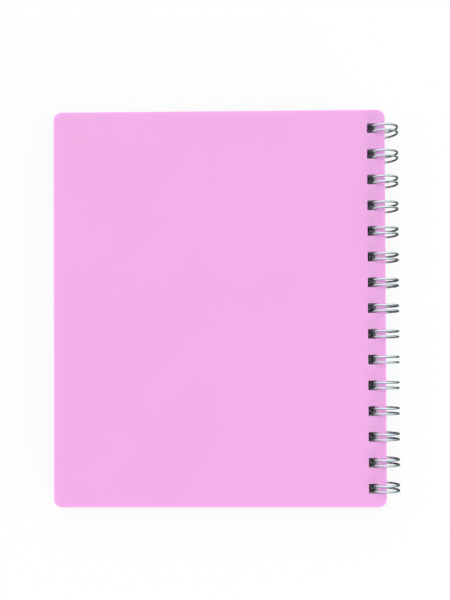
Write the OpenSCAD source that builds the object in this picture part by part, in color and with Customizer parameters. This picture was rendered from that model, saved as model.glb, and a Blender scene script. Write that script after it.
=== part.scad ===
// Notebook bound with twin loop wire: two stiff covers, a block of sheets and one bent wire.
// It lies on its back cover. The spine runs along Y, the fore edge is at -X, and the wire's rings
// touch the surface at Z = 0. X = 0 and Y = 0 are the middle of the whole notebook.

/* [Covers] */
// Width of a cover, from its fore edge to its spine edge
cover_w = 164; // [90:1:220]
// Height of a cover, along the spine
cover_l = 196; // [110:1:300]
// Thickness of the cover sheet
cover_t = 0.8; // [0.4:0.05:2]
// Radius of the corners that are cut round, on the covers and the sheets
corner_r = 4; // [1:0.5:12]

/* [Sheets] */
// Number of sheets in the block
sheet_count = 60; // [30:1:100]
// Thickness of one sheet
sheet_t = 0.11; // [0.08:0.01:0.14]
// How far the sheets stay inside the covers at the head, the tail and the fore edge
sheet_inset = 1.5; // [0.5:0.1:4]
// How far the sheets stay inside the covers at the spine
sheet_spine_inset = 0.4; // [0.2:0.1:1.5]

/* [Punched holes] */
// Distance from one hole to the next, two holes to the inch
hole_pitch = 12.7; // [10:0.1:16]
// Least plain length that is left between the last hole's centre and the cover's end
hole_end = 7.5; // [6:0.5:20]
// Width of the strip between the holes and the spine edge
hole_edge = 4.1; // [3:0.1:6]
// Radius of a hole's corners
hole_corner_r = 0.4; // [0.2:0.05:1]

/* [Twin loop wire] */
// Diameter of the wire
wire_d = 1; // [0.7:0.05:1.3]
// Distance between the two wires of one ring, centre to centre
twin_gap = 2.7; // [2.2:0.1:3.2]
// Bend radius where a ring turns into the straight link to the next, to the wire's centre
link_bend_r = 1; // [0.8:0.1:1.2]
// How much thinner the wire becomes where it is bent tightly
bend_thinning = 0.02; // [0.01:0.01:0.05]

/* [Clearances] */
// Air between the front cover and the first sheet
front_gap = 0.1; // [0.05:0.05:0.3]
// Room for the wire's seam, between the last sheet and the back cover
seam_gap = 1.3; // [1.3:0.05:2]
// Air that is left between the last sheet and the back cover at the fore edge
fore_gap = 0.1; // [0.05:0.05:0.3]
// Least air between a ring's inside and the strips that it passes round
ring_gap = 0.1; // [0.1:0.05:0.5]
// Air between a ring's outside and the far edge of a hole
hole_reach_gap = 1.25; // [0.5:0.05:3]
// Air between a wire and the hole's edge beside it
hole_side_gap = 0.55; // [0.3:0.05:1.2]
// Distance from the covers' spine edge out to the rings' centre line
spine_gap = 0.05; // [0.05:0.05:0.5]

/* [Hidden] */
wire_fn = 24;
ring_fn = 72;
hole_fn = 24;
corner_fn = 48;

// A ring is open from its root to its tip. Both places are given by the cosine and sine
// of their angle below the level of the rings' centre line, on the side of the sheets.
root_cos = 0.8;
root_sin = 0.6;
tip_cos = 0.96;
tip_sin = 0.28;

// The least ring radius that clears the spine strip of the front cover (over the block)
// and of the back cover (under the seam), each a quadratic in the radius.
block_t = sheet_count * sheet_t;
strip = hole_edge + spine_gap;
wire_clear = wire_d / 2 + ring_gap;
over = seam_gap / 2 + root_cos * link_bend_r + block_t + front_gap + cover_t;
under = seam_gap / 2 - root_cos * link_bend_r + cover_t;
lead = 1 - root_sin * root_sin;
function larger_root(b, c) = (sqrt(b * b + 4 * lead * c) - b) / (2 * lead);
function reach(height) = strip * strip + height * height - wire_clear * wire_clear;
least_over = larger_root(2 * (root_sin * over - wire_clear), reach(over));
least_under = larger_root(-2 * (root_sin * under + wire_clear), reach(under));
radius_step = 0.05;
ring_r = radius_step * ceil(max(least_over, least_under) / radius_step);
ring_out_r = ring_r + wire_d / 2;

// Places across the spine: the whole notebook is centred on X = 0.
spine_x = (cover_w - spine_gap - ring_out_r) / 2;
ring_x = spine_x + spine_gap;
sheet_spine_x = spine_x - sheet_spine_inset;
sheet_fore_x = spine_x - cover_w + sheet_inset;

// Heights, upwards from the surface: rings, seam, back cover, sheets, front cover.
ring_z = ring_out_r;
seam_z = ring_z - root_sin * ring_r + root_cos * link_bend_r;
back_top_z = seam_z - seam_gap / 2;
block_z = seam_z + seam_gap / 2;
front_z = block_z + block_t + front_gap;
back_lean = atan((seam_gap - fore_gap) / (ring_x - sheet_fore_x));

// Holes: their size follows the rings that pass through them.
hole_w = ring_out_r + hole_reach_gap - strip;
hole_l = twin_gap + wire_d + 2 * hole_side_gap;
hole_count = floor((cover_l - 2 * hole_end) / hole_pitch) + 1;

// The links between the rings' roots, and the shorter piece that is left at each end of the wire
link_l = hole_pitch - twin_gap - 2 * link_bend_r;
stub_share = 0.25;
stub_l = stub_share * link_l;

// How far a tight bend runs on into what it joins
bend_lap = 0.05;

function hole_y(i) = (i - (hole_count - 1) / 2) * hole_pitch;

// A rectangle from x0 to x1, centred on Y, with round corners
module round_sheet(x0, x1, l, r) {
    translate([x0 + r, -l / 2]) square([x1 - x0 - 2 * r, l]);
    translate([x0, -l / 2 + r]) square([x1 - x0, l - 2 * r]);
    for (x = [x0 + r, x1 - r], y = [-l / 2 + r, l / 2 - r])
        translate([x, y]) circle(r = r, $fn = corner_fn);
}

// The row of punched holes, measured from the spine edge of the sheet that is punched
module hole_row(edge_x) {
    right_x = edge_x - hole_edge;
    for (i = [0 : hole_count - 1])
        translate([0, hole_y(i)])
            punched_hole(right_x - hole_w, right_x);
}

module punched_hole(x0, x1) {
    r = hole_corner_r;
    translate([x0 + r, -hole_l / 2]) square([x1 - x0 - 2 * r, hole_l]);
    translate([x0, -hole_l / 2 + r]) square([x1 - x0, hole_l - 2 * r]);
    for (x = [x0 + r, x1 - r], y = [-hole_l / 2 + r, hole_l / 2 - r])
        translate([x, y]) circle(r = r, $fn = hole_fn);
}

module cover_sheet() {
    linear_extrude(cover_t)
        difference() {
            round_sheet(spine_x - cover_w, spine_x, cover_l, corner_r);
            hole_row(spine_x);
        }
}

module front_cover() {
    color("plum")
        translate([0, 0, front_z])
            cover_sheet();
}

// The back cover leans in about the rings' centre line until it meets the block's fore edge.
module back_cover() {
    color("plum")
        translate([ring_x, 0, ring_z])
            rotate([0, back_lean, 0])
                translate([-ring_x, 0, back_top_z - cover_t - ring_z])
                    cover_sheet();
}

// All the sheets as one block, punched like the covers
module page_block() {
    color("ivory")
        translate([0, 0, block_z])
            linear_extrude(block_t)
                difference() {
                    round_sheet(sheet_fore_x, sheet_spine_x, cover_l - 2 * sheet_inset, corner_r);
                    hole_row(sheet_spine_x);
                }
}

// One of a ring's two wires: a full turn with the piece between its tip and its root cut out
module ring_wire() {
    rotate([90, 0, 0])
        difference() {
            rotate_extrude($fn = ring_fn) translate([ring_r, 0]) circle(d = wire_d, $fn = wire_fn);
            translate([0, 0, -wire_d])
                linear_extrude(2 * wire_d)
                    polygon([
                        [0, 0],
                        [-2 * ring_r * tip_cos, -2 * ring_r * tip_sin],
                        [-2 * ring_r * root_cos, -2 * ring_r * root_sin]
                    ]);
        }
}

// Places its children at a cut end: their X runs down along the ring, Y along the spine, Z inwards
module at_cut(c, s) {
    multmatrix([
        [s, 0, c, -ring_r * c],
        [0, 1, 0, 0],
        [-c, 0, s, -ring_r * s],
        [0, 0, 0, 1]
    ])
        children();
}

// A tight bend of the wire, which runs on a little way into what it joins at both ends
module wire_bend(r, turn) {
    lap_turn = bend_lap / r * 180 / PI;
    rotate([0, 0, -lap_turn])
        rotate_extrude(angle = turn + 2 * lap_turn, $fn = ring_fn)
            translate([r, 0]) circle(d = wire_d - bend_thinning, $fn = wire_fn);
}

// The closed end of a ring, where its two wires meet in a half turn
module ring_tip() {
    at_cut(tip_cos, tip_sin)
        rotate([0, 0, -90])
            wire_bend(twin_gap / 2, 180);
}

// The quarter bend from a ring's root into the link beside it, towards +Y
module root_bend() {
    at_cut(root_cos, root_sin)
        translate([0, twin_gap / 2 + link_bend_r, 0])
            rotate([0, 0, 180])
                wire_bend(link_bend_r, 90);
}

// A straight run beside a ring's root, towards +Y
module root_run(l) {
    at_cut(root_cos, root_sin)
        translate([-link_bend_r, twin_gap / 2 + link_bend_r, 0])
            rotate([-90, 0, 0])
                cylinder(d = wire_d, h = l, $fn = wire_fn);
}

module ring() {
    for (side = [-1, 1])
        translate([0, side * twin_gap / 2, 0]) ring_wire();
    root_bend();
    mirror([0, 1, 0]) root_bend();
    ring_tip();
}

// The whole binding: a ring in each hole, joined by links, with a short cut end at each end
module twin_loop_wire() {
    color("silver")
        translate([ring_x, 0, ring_z])
            union() {
                for (i = [0 : hole_count - 1])
                    translate([0, hole_y(i), 0]) ring();
                for (i = [0 : hole_count - 2])
                    translate([0, hole_y(i), 0]) root_run(link_l);
                translate([0, hole_y(hole_count - 1), 0]) root_run(stub_l);
                translate([0, hole_y(0), 0]) mirror([0, 1, 0]) root_run(stub_l);
            }
}

front_cover();
page_block();
back_cover();
twin_loop_wire();
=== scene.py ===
import math
import random

import bmesh
import bpy
from mathutils import Matrix, Vector
from mathutils.geometry import delaunay_2d_cdt


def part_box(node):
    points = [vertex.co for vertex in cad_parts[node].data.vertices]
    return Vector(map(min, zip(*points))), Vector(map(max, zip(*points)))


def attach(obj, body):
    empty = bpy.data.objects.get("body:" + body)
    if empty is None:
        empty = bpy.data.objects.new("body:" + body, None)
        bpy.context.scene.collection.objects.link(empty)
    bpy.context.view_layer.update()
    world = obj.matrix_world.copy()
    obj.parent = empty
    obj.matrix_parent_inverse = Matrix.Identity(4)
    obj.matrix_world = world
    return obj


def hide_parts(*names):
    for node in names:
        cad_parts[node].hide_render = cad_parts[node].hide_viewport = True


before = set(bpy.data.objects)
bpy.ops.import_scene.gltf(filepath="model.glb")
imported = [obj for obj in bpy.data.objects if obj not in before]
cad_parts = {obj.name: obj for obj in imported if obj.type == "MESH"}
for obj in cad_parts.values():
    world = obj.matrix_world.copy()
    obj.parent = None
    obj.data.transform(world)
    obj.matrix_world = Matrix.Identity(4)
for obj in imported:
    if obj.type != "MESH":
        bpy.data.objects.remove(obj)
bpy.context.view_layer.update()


# Covers
# Each cover is one sheet of pink satin plastic, die cut with four round corners and a row of
# 15 holes along the spine. The knife rounds the cut edges a little. Along its rim the sheet is
# painted a shade brighter than the face, a painted glow that stands in for light that enters
# the sheet and leaves along its rim.

HOLES = 15
PITCH = 0.0127
HOLE_WIDTH = 0.0046
HOLE_LENGTH = 0.0048
HOLE_TO_SPINE = 0.0041
HOLE_CORNER = 0.0004
SHEET_CORNER = 0.004
COVER_EDGE = 0.00014


def rounded_outline(x0, x1, y0, y1, radius, steps):
    """The points of a rectangle with round corners, anticlockwise."""
    points = []
    corners = ((x1, y1, -1, -1), (x0, y1, 1, -1), (x0, y0, 1, 1), (x1, y0, -1, 1))
    for quarter, (x, y, to_x, to_y) in enumerate(corners):
        for step in range(steps + 1):
            angle = math.radians(90 * (quarter + step / steps))
            points.append((
                x + to_x * radius + radius * math.cos(angle),
                y + to_y * radius + radius * math.sin(angle),
            ))
    return points


def hole_middle(number):
    return (number - (HOLES - 1) / 2) * PITCH


def hole_outline(spine_x, number, wider, steps):
    """One punched hole, grown by `wider` on every side."""
    right = spine_x - HOLE_TO_SPINE + wider
    left = spine_x - HOLE_TO_SPINE - HOLE_WIDTH - wider
    middle = hole_middle(number)
    half = HOLE_LENGTH / 2 + wider
    return rounded_outline(left, right, middle - half, middle + half, HOLE_CORNER + wider, steps)


def bridge(mesh, lower, upper):
    for i in range(len(lower)):
        j = (i + 1) % len(lower)
        mesh.faces.new((lower[i], lower[j], upper[j], upper[i])).smooth = True


def flat_fill(mesh, rings, spine_x, upwards, grown=0):
    """Fills a flat face between its outer ring and its holes, which are `grown` on every side."""
    mm, keep_inside, same_point = 1000, 1, 1e-5
    verts = [v for ring in rings for v in ring]
    edges, start = [], 0
    for ring in rings:
        edges += [(start + i, start + (i + 1) % len(ring)) for i in range(len(ring))]
        start += len(ring)
    scaled = [Vector((v.co.x * mm, v.co.y * mm)) for v in verts]
    faces = delaunay_2d_cdt(scaled, edges, [], keep_inside, same_point)[2]
    hole_right = (spine_x - HOLE_TO_SPINE + grown) * mm
    hole_left = hole_right - (HOLE_WIDTH + 2 * grown) * mm
    hole_half = (HOLE_LENGTH / 2 + grown) * mm
    for face in faces:
        x = sum(scaled[i].x for i in face) / len(face)
        y = sum(scaled[i].y for i in face) / len(face)
        in_row = hole_left < x < hole_right
        if in_row and any(abs(y - hole_middle(n) * mm) < hole_half for n in range(HOLES)):
            continue
        corners = [verts[i] for i in face]
        mesh.faces.new(corners if upwards else corners[::-1])


def cover_mesh(name, x0, x1, half_length, z0, z1):
    """A die cut cover sheet with rounded cut edges. Its painted rim glow value is 1 at the edge
    and fades inwards.
    """
    mesh = bmesh.new()
    painted_rim_glow = mesh.verts.layers.float.new("painted_rim_glow")
    edge_steps = 4
    edge_turn = [math.radians(90 * i / edge_steps) for i in range(edge_steps + 1)]
    # How far in from the edge the painted rim glow fades out.
    painted_glow_fade = ((0.0024, 0.0), (0.0013, 0.25), (0.0006, 0.55))
    top = [(inset, z1, painted_glow) for inset, painted_glow in painted_glow_fade]
    top += [
        (COVER_EDGE * (1 - math.sin(a)), z1 - COVER_EDGE * (1 - math.cos(a)), 1.0)
        for a in edge_turn
    ]
    profile = top + [(inset, z0 + z1 - z, painted_glow) for inset, z, painted_glow in reversed(top)]

    def ring(outline, z, painted_glow):
        made = []
        for x, y in outline:
            vert = mesh.verts.new((x, y, z))
            vert[painted_rim_glow] = painted_glow
            made.append(vert)
        return made

    outer = []
    for d, z, painted_glow in profile:
        far_y = half_length - d
        outline = rounded_outline(x0 + d, x1 - d, -far_y, far_y, SHEET_CORNER - d, steps=14)
        outer.append(ring(outline, z, painted_glow))
    for upper, lower in zip(outer, outer[1:]):
        bridge(mesh, lower, upper)
    tops, bottoms = [outer[0]], [outer[-1]]
    hole_lip = 0.0004
    cut_edge = [(d, z) for d, z, _ in profile[len(painted_glow_fade):-len(painted_glow_fade)]]
    hole_profile = [(hole_lip, z1)] + cut_edge + [(hole_lip, z0)]
    for number in range(HOLES):
        rings = [ring(hole_outline(x1, number, d, steps=5), z, 0.0) for d, z in hole_profile]
        for upper, lower in zip(rings, rings[1:]):
            bridge(mesh, upper, lower)
        tops.append(rings[0])
        bottoms.append(rings[-1])
    flat_fill(mesh, tops, x1, upwards=True, grown=hole_lip)
    flat_fill(mesh, bottoms, x1, upwards=False, grown=hole_lip)
    data = bpy.data.meshes.new(name)
    mesh.to_mesh(data)
    mesh.free()
    return data


def new_material(name):
    material = bpy.data.materials.new(name)
    material.use_nodes = True
    tree = material.node_tree
    return material, tree, tree.nodes["Principled BSDF"]


def give(tree, socket, value):
    """Links a socket to another node's output, or sets it to a plain value."""
    if isinstance(value, bpy.types.NodeSocket):
        tree.links.new(value, socket)
    else:
        socket.default_value = value


def feed(tree, made, **values):
    """Gives a node its settings and sockets by name."""
    for key, value in values.items():
        if hasattr(made, key):
            setattr(made, key, value)
        else:
            give(tree, made.inputs[key.replace("_", " ")], value)
    return made


def node(tree, kind, **values):
    """A new shader node with its settings and sockets."""
    return feed(tree, tree.nodes.new("ShaderNode" + kind), **values)


def between(tree, factor, low, high):
    """A value that runs from low to high as the factor runs from 0 to 1."""
    return node(tree, "MapRange", Value=factor, To_Min=low, To_Max=high).outputs["Result"]


def blend(tree, factor, first, second):
    """A colour that runs from the first to the second as the factor runs from 0 to 1."""
    mixed = node(tree, "Mix", data_type="RGBA", Factor=factor, A=first, B=second)
    return mixed.outputs["Result"]


def sheet_grain_group():
    """The fine even grain of a rolled sheet, and slow patches over it."""
    group = bpy.data.node_groups.new("sheet grain", "ShaderNodeTree")
    for name in ("Fine", "Patch"):
        group.interface.new_socket(name, in_out="INPUT", socket_type="NodeSocketFloat")
    for name in ("Height", "Tone"):
        group.interface.new_socket(name, in_out="OUTPUT", socket_type="NodeSocketFloat")
    scale = group.nodes.new("NodeGroupInput").outputs
    place = node(group, "TexCoord").outputs["Object"]
    fine = node(group, "TexNoise", Vector=place, Scale=scale["Fine"], Detail=4.0, Roughness=0.62)
    patch = node(group, "TexNoise", Vector=place, Scale=scale["Patch"], Detail=3.0, Roughness=0.5)
    result = group.nodes.new("NodeGroupOutput")
    feed(group, result, Height=fine.outputs["Fac"], Tone=patch.outputs["Fac"])
    return group


sheet_grain = sheet_grain_group()


def satin_pink():
    """Pink sheet plastic with a satin face, painted a shade brighter along its cut rim as a
    painted glow.
    """
    material, tree, shader = new_material("satin pink plastic")
    grain = node(tree, "Group", node_tree=sheet_grain, Fine=2600.0, Patch=22.0)
    tone = grain.outputs["Tone"]
    patches = between(tree, tone, -0.6, 1.6)
    face = blend(tree, patches, (0.796, 0.364, 0.710, 1), (0.816, 0.378, 0.729, 1))
    painted_rim_glow = node(tree, "Attribute", attribute_name="painted_rim_glow").outputs["Fac"]
    bump = node(tree, "Bump", Strength=0.25, Distance=0.00003, Height=grain.outputs["Height"])
    feed(
        tree, shader,
        # Along the rim the pink is painted brighter: a painted glow, not light.
        Base_Color=blend(tree, painted_rim_glow, face, (0.915, 0.397, 0.828, 1)),
        Roughness=between(tree, tone, 0.46, 0.54),
        Normal=bump.outputs["Normal"],
        IOR=1.49,
        Specular_IOR_Level=0.35,
    )
    return material


def new_piece(name, mesh, finish):
    piece = bpy.data.objects.new(name, mesh)
    piece.data.materials.append(finish)
    bpy.context.scene.collection.objects.link(piece)
    return piece


cover_finish = satin_pink()
cover_low, cover_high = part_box("front_cover")
half_cover = cover_high.y

front_cover = new_piece("front_cover_sheet", cover_mesh(
    "front cover sheet", cover_low.x, cover_high.x, half_cover, cover_low.z, cover_high.z,
), cover_finish)
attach(front_cover, "front_cover")
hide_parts("front_cover")

# The back cover is the same sheet. It leans in about the rings' middle line, because the wire's
# seam keeps it off the sheets at the spine and it meets them at the fore edge.

SPINE_GAP = 0.00005
RING_X = cover_high.x + SPINE_GAP
RING_Z = 0.0075
BACK_TOP = 0.00345
SEAM_SLACK = 0.0012
LEAN_REACH = 0.16255

back_cover = new_piece("back_cover_sheet", cover_mesh(
    "back cover sheet", cover_low.x, cover_high.x, half_cover,
    BACK_TOP - (cover_high.z - cover_low.z), BACK_TOP,
), cover_finish)
ring_line = Vector((RING_X, 0, RING_Z))
back_lean = Matrix.Rotation(math.atan(SEAM_SLACK / LEAN_REACH), 4, "Y")
back_cover.data.transform(
    Matrix.Translation(ring_line) @ back_lean @ Matrix.Translation(-ring_line)
)
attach(back_cover, "back_cover")
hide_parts("back_cover")


# Sheets
# A block of 60 white writing sheets, cut and punched together and held only by the wire.
# They never lie quite edge to edge, so the block's sides show fine uneven lines.

SHEETS = 60
PAPER = 0.0001
SHIFT = 0.00009
stack_low, stack_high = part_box("page_block")
random.seed(11)


def sheet_stack_mesh():
    """The sheets, a little askew. Their painted hole shade value is 1 on the hole walls away from
    the spine, which are painted dark as shade.
    """
    mesh = bmesh.new()
    punched = mesh.verts.layers.float.new("punched")
    lift = (stack_high.z - stack_low.z - PAPER) / (SHEETS - 1)
    half = stack_high.y - SHIFT
    for number in range(SHEETS):
        across = random.uniform(-SHIFT, 0)
        along = random.uniform(-SHIFT, SHIFT) / 2
        x0 = stack_low.x + SHIFT + across
        x1 = stack_high.x + across
        z = stack_low.z + number * lift
        spine_side = x1 - HOLE_TO_SPINE - HOLE_CORNER
        outlines = [rounded_outline(x0, x1, -half, half, SHEET_CORNER, steps=8)]
        outlines += [hole_outline(x1, n, 0, steps=3) for n in range(HOLES)]
        tops, bottoms = [], []
        for place, outline in enumerate(outlines):
            low = [mesh.verts.new((x, y, z)) for x, y in outline]
            high = [mesh.verts.new((x, y, z + PAPER)) for x, y in outline]
            for vert in low + high:
                vert[punched] = float(place > 0 and vert.co.x < spine_side)
            bottoms.append(low)
            tops.append(high)
            for i in range(len(low)):
                j = (i + 1) % len(low)
                wall = (low[i], low[j], high[j], high[i])
                mesh.faces.new(wall if place == 0 else wall[::-1])
        flat_fill(mesh, tops, x1, upwards=True)
        flat_fill(mesh, bottoms, x1, upwards=False)
        for ring in tops + bottoms:
            for vert in ring:
                vert.co.y += along
    data = bpy.data.meshes.new("sheet stack")
    mesh.to_mesh(data)
    mesh.free()
    return data


def maths(tree, operation, *terms):
    """The result of a maths node, whose terms are numbers or other nodes' outputs."""
    made = node(tree, "Math", operation=operation)
    for socket, term in zip(made.inputs, terms):
        give(tree, socket, term)
    return made.outputs["Value"]


def ruled_paper():
    """White writing paper with pale ruled lines across its faces. Its hole walls away from the
    spine are painted dark as shade, and its other cut edges are the paper's white set a shade
    lighter than its faces, as painted light.
    """
    material, tree, shader = new_material("ruled paper")
    half_space, head_margin, flat_enough = 0.004, 0.016, 0.9
    place = node(tree, "TexCoord")
    along = node(tree, "SeparateXYZ", Vector=place.outputs["Object"]).outputs["Y"]
    facing = node(tree, "SeparateXYZ", Vector=place.outputs["Normal"]).outputs["Z"]
    on_face = maths(tree, "GREATER_THAN", maths(tree, "ABSOLUTE", facing), flat_enough)
    line = node(
        tree, "MapRange", Value=maths(tree, "PINGPONG", along, half_space),
        From_Min=0.00008, From_Max=0.00016, To_Min=1.0, To_Max=0.0,
    )
    below_margin = maths(tree, "LESS_THAN", along, half_cover - head_margin)
    ruled = maths(tree, "MULTIPLY", line.outputs["Result"], on_face)
    printed = maths(tree, "MULTIPLY", ruled, below_margin)

    grain = node(tree, "Group", node_tree=sheet_grain, Fine=5200.0, Patch=60.0)
    fine = grain.outputs["Height"]
    punched = node(tree, "Attribute", attribute_name="punched").outputs["Fac"]
    bare = blend(tree, grain.outputs["Tone"], (0.80, 0.79, 0.755, 1), (0.86, 0.855, 0.83, 1))
    # Cut edges: the paper's white, set a shade lighter than the faces as painted light. Hole
    # walls away from the spine: dark grey, painted shade.
    cut = blend(tree, punched, (0.90, 0.90, 0.88, 1), (0.17, 0.17, 0.18, 1))
    sheet = blend(tree, on_face, cut, bare)
    bump = node(tree, "Bump", Strength=0.2, Distance=0.00002, Height=fine)
    feed(
        tree, shader,
        Base_Color=blend(tree, printed, sheet, (0.45, 0.56, 0.70, 1)),
        Roughness=between(tree, fine, 0.80, 0.95),
        Normal=bump.outputs["Normal"],
        Specular_IOR_Level=0.2,
    )
    return material


sheets = new_piece("sheet_stack", sheet_stack_mesh(), ruled_paper())
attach(sheets, "bound_block")
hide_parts("page_block")


# Twin loop wire
# One continuous steel wire. It goes round each ring twice: out along one wire, back along the
# other, with a half turn at the tip, and quarter bends at the root into the straight link to
# the next ring. Closing it presses the tips in between the roots, under the last sheet.

RING_R = 0.007
WIRE_R = 0.0005
TWIN = 0.0027
LINK_BEND = 0.001
ROOT = (0.8, 0.6)
TIP = (0.96, 0.28)
STUB = 0.002


def at_cut(cut):
    """Where a ring is cut open: X runs down along the ring, Y along the spine, Z inwards."""
    c, s = cut
    return Matrix(((s, 0, c, -RING_R * c), (0, 1, 0, 0), (-c, 0, s, -RING_R * s), (0, 0, 0, 1)))


def ring_path():
    """The wire's middle line through one ring, from the link before it to the link after it."""
    bend_steps, ring_steps, tip_steps = 8, 88, 18
    root, tip = at_cut(ROOT), at_cut(TIP)
    half = TWIN / 2
    bend_y = half + LINK_BEND
    quarter = [
        (LINK_BEND * math.cos(a), bend_y + LINK_BEND * math.sin(a))
        for a in (math.radians(180 + 90 * i / bend_steps) for i in range(bend_steps + 1))
    ]
    start = math.atan2(-ROOT[1], -ROOT[0])
    end = math.atan2(-TIP[1], -TIP[0]) + 2 * math.pi
    turns = [start + (end - start) * i / ring_steps for i in range(1, ring_steps)]
    loop = [(RING_R * math.cos(a), RING_R * math.sin(a)) for a in turns]
    path = [root @ Vector((x, -y, 0)) for x, y in quarter]
    path += [Vector((x, -half, z)) for x, z in loop]
    path += [
        tip @ Vector((half * math.cos(a), half * math.sin(a), 0))
        for a in (math.radians(-90 + 180 * i / tip_steps) for i in range(tip_steps + 1))
    ]
    path += [Vector((x, half, z)) for x, z in reversed(loop)]
    path += [root @ Vector((x, y, 0)) for x, y in reversed(quarter)]
    return path


def wire_path():
    """The middle line through all the rings, with a short cut end beyond the outer two."""
    middle = []
    for number in range(HOLES):
        shift = Vector((RING_X, hole_middle(number), RING_Z))
        middle += [shift + point for point in ring_path()]
    stub = Vector((0, STUB, 0))
    return [middle[0] - stub] + middle + [middle[-1] + stub]


def wire_mesh(path, sides):
    """A round wire swept along the path. Its drawn value holds the length and the way round."""
    mesh = bmesh.new()
    drawn = mesh.verts.layers.float_vector.new("drawn")
    rings, length, side = [], 0.0, Vector((1, 0, 0))
    for i, point in enumerate(path):
        before, after = path[max(i - 1, 0)], path[min(i + 1, len(path) - 1)]
        along = (after - before).normalized()
        side = (side - along * side.dot(along)).normalized()
        other = along.cross(side)
        length += (point - before).length
        ring = []
        for k in range(sides):
            a = 2 * math.pi * k / sides
            vert = mesh.verts.new(point + WIRE_R * (side * math.cos(a) + other * math.sin(a)))
            vert[drawn] = (length, WIRE_R * math.cos(a), WIRE_R * math.sin(a))
            ring.append(vert)
        rings.append(ring)
    for lower, upper in zip(rings, rings[1:]):
        bridge(mesh, lower, upper)
    mesh.faces.new(rings[0][::-1])
    mesh.faces.new(rings[-1])
    data = bpy.data.meshes.new("twin loop wire")
    mesh.to_mesh(data)
    mesh.free()
    return data


def drawn_steel():
    """Bright silver wire with the faint lengthwise lines of the die that drew it."""
    material, tree, shader = new_material("bright drawn wire")
    drawn = node(tree, "Attribute", attribute_name="drawn").outputs["Vector"]
    stretch = node(tree, "Mapping", Vector=drawn, Scale=(60.0, 9000.0, 9000.0))
    noise = node(tree, "TexNoise", Vector=stretch.outputs["Vector"], Scale=1.0, Detail=3.0)
    lines = noise.outputs["Fac"]
    bump = node(tree, "Bump", Strength=0.03, Distance=0.000002, Height=lines)
    feed(
        tree, shader,
        Base_Color=blend(tree, lines, (0.70, 0.84, 0.85, 1), (0.77, 0.89, 0.90, 1)),
        Roughness=between(tree, lines, 0.11, 0.19),
        Normal=bump.outputs["Normal"],
        Metallic=1.0,
    )
    return material


wire = new_piece("twin_loop_binding", wire_mesh(wire_path(), sides=16), drawn_steel())
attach(wire, "bound_block")
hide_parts("twin_loop_wire")


# Table, light and camera
# A table top that the rings and the back cover's fore edge touch, a soft light beyond the
# head's fore corner and a low one beyond the spine. The table is a dark grey board that glows
# white for the camera, except under the notebook, where its dark is painted shade, and it glows
# for reflections only away from the notebook, so near it the wire mirrors painted shade. The
# studio is bright beyond the head and dark beyond the foot, and the wire mirrors it and not the
# lights. The camera looks down from above.

TABLE_GAP = 0.00002
HALF_TABLE = 2.0
NEAR_GLOW = 0.85
FAR_GLOW = 0.15
fore_x, fore_z = cover_low.x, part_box("back_cover")[0].z


def white_table():
    """A dark grey board that glows white for the camera beside the notebook, so it stays white.
    Under the notebook it doesn't glow, painted shade seen through the holes, and for reflections
    it glows only from 10 cm beyond the covers, painted shade near the notebook.
    """
    material, tree, shader = new_material("white table")
    place = node(tree, "TexCoord").outputs["Object"]
    apart = node(tree, "SeparateXYZ", Vector=place)
    path = node(tree, "LightPath")
    half_width = (cover_high.x - cover_low.x) / 2
    sides = (("X", -half_width, half_width), ("Y", 0, half_cover))

    def beside(ray, start, end):
        """1 for that kind of ray, beyond `end` from the covers' rectangle, 0 within `start`."""
        past = []
        for axis, middle, half in sides:
            offset = maths(tree, "SUBTRACT", apart.outputs[axis], middle)
            away = maths(tree, "ABSOLUTE", offset)
            ramp = node(
                tree, "MapRange", Value=away, From_Min=half + start, From_Max=half + end
            )
            past.append(ramp.outputs["Result"])
        return maths(tree, "MULTIPLY", maths(tree, "MAXIMUM", *past), path.outputs[ray])

    # The board doesn't glow for the camera under the covers' rectangle, nor for reflections
    # within 10 cm of it: there its dark grey is painted shade.
    camera_glow_with_painted_shade_under = beside("Is Camera Ray", start=-0.004, end=-0.0012)
    mirrored_glow_with_painted_shade_near = beside("Is Glossy Ray", start=0.10, end=0.45)
    far = beside("Is Camera Ray", start=0.5, end=1.5)
    near = between(tree, maths(tree, "MAXIMUM", camera_glow_with_painted_shade_under, mirrored_glow_with_painted_shade_near), 0.0, NEAR_GLOW)
    feed(
        tree, shader,
        Base_Color=(0.13, 0.13, 0.13, 1),
        Roughness=0.9,
        Specular_IOR_Level=0.0,
        Emission_Color=(1, 1, 1, 1),
        Emission_Strength=maths(tree, "MULTIPLY_ADD", far, FAR_GLOW, near),
    )
    return material


table_mesh = bpy.data.meshes.new("table top")
corners = ((-1, -1), (1, -1), (1, 1), (-1, 1))
table_mesh.from_pydata(
    [(HALF_TABLE * x, HALF_TABLE * y, 0) for x, y in corners], [], [(0, 1, 2, 3)]
)
table = new_piece("table", table_mesh, white_table())
table.rotation_euler = (0, math.atan2(fore_z, RING_X - fore_x), 0)
table.location = (RING_X, 0, -TABLE_GAP)


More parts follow.
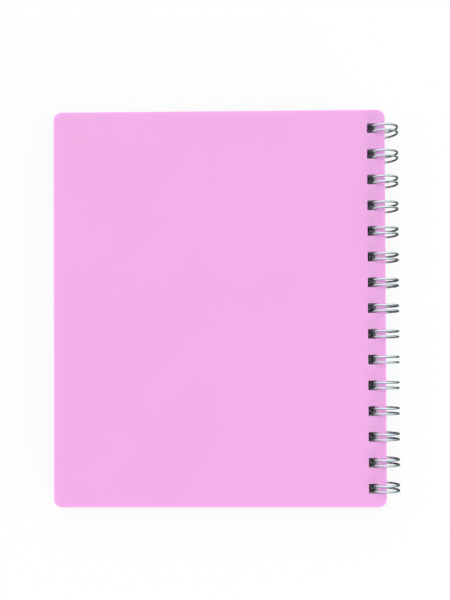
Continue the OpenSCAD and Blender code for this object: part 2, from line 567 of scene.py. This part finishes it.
def soft_light(name, place, size, power):
    """A lamp aimed at the notebook, which neither the camera nor a reflection shows."""
    lamp = bpy.data.lights.new(name, "AREA")
    lamp.shape = "RECTANGLE"
    lamp.size, lamp.size_y = size
    lamp.energy = power
    stand = bpy.data.objects.new(name, lamp)
    stand.location = place
    stand.rotation_euler = Vector(place).to_track_quat("Z", "Y").to_euler()
    stand.visible_camera = False
    stand.visible_glossy = False
    bpy.context.scene.collection.objects.link(stand)


soft_light("head light", place=(-1.50, 1.80, 2.70), size=(1.6, 1.2), power=13.0)
soft_light("low side light", place=(1.90, -1.60, 0.60), size=(2.2, 0.5), power=44.0)

world = bpy.data.worlds.new("studio")
world.use_nodes = True
bpy.context.scene.world = world
sky = world.node_tree
bright_side = (-0.05, 0.70, 0.71)
lean = node(sky, "VectorMath", operation="DOT_PRODUCT")
give(sky, lean.inputs[0], node(sky, "TexCoord").outputs["Generated"])
give(sky, lean.inputs[1], bright_side)
spread = node(sky, "MapRange", Value=lean.outputs["Value"], From_Min=-1.0, From_Max=1.0)
dome = node(sky, "ValToRGB", Fac=spread.outputs["Result"])
stops = dome.color_ramp.elements
stops[0].position, stops[0].color = 0.30, (0.01, 0.05, 0.06, 1)
stops[1].position, stops[1].color = 0.40, (0.20, 0.30, 0.32, 1)
stops.new(0.47).color = (0.62, 0.67, 0.67, 1)
stops.new(0.66).color = (0.80, 0.83, 0.83, 1)
stops.new(0.82).color = (0.98, 1.00, 1.00, 1)
stops.new(1.0).color = (1.35, 1.35, 1.35, 1)
on_camera = node(sky, "LightPath").outputs["Is Camera Ray"]
backdrop = blend(sky, on_camera, dome.outputs["Color"], (1, 1, 1, 1))
feed(sky, sky.nodes["Background"], Color=backdrop)

camera_data = bpy.data.cameras.new("camera")
camera_data.sensor_fit = "HORIZONTAL"
camera_data.sensor_width = 36.0
camera_data.lens = 59.9
camera_data.shift_x = 0.0556
camera_data.shift_y = 0.1324
camera_data.clip_end = 20.0
camera = bpy.data.objects.new("camera", camera_data)
camera.location = (-0.00686, -0.02917, 0.38219)
camera.rotation_euler = (0.01090, 0.01758, -0.00325)
bpy.context.scene.collection.objects.link(camera)
bpy.context.scene.camera = camera

bpy.context.scene.view_settings.view_transform = "Standard"
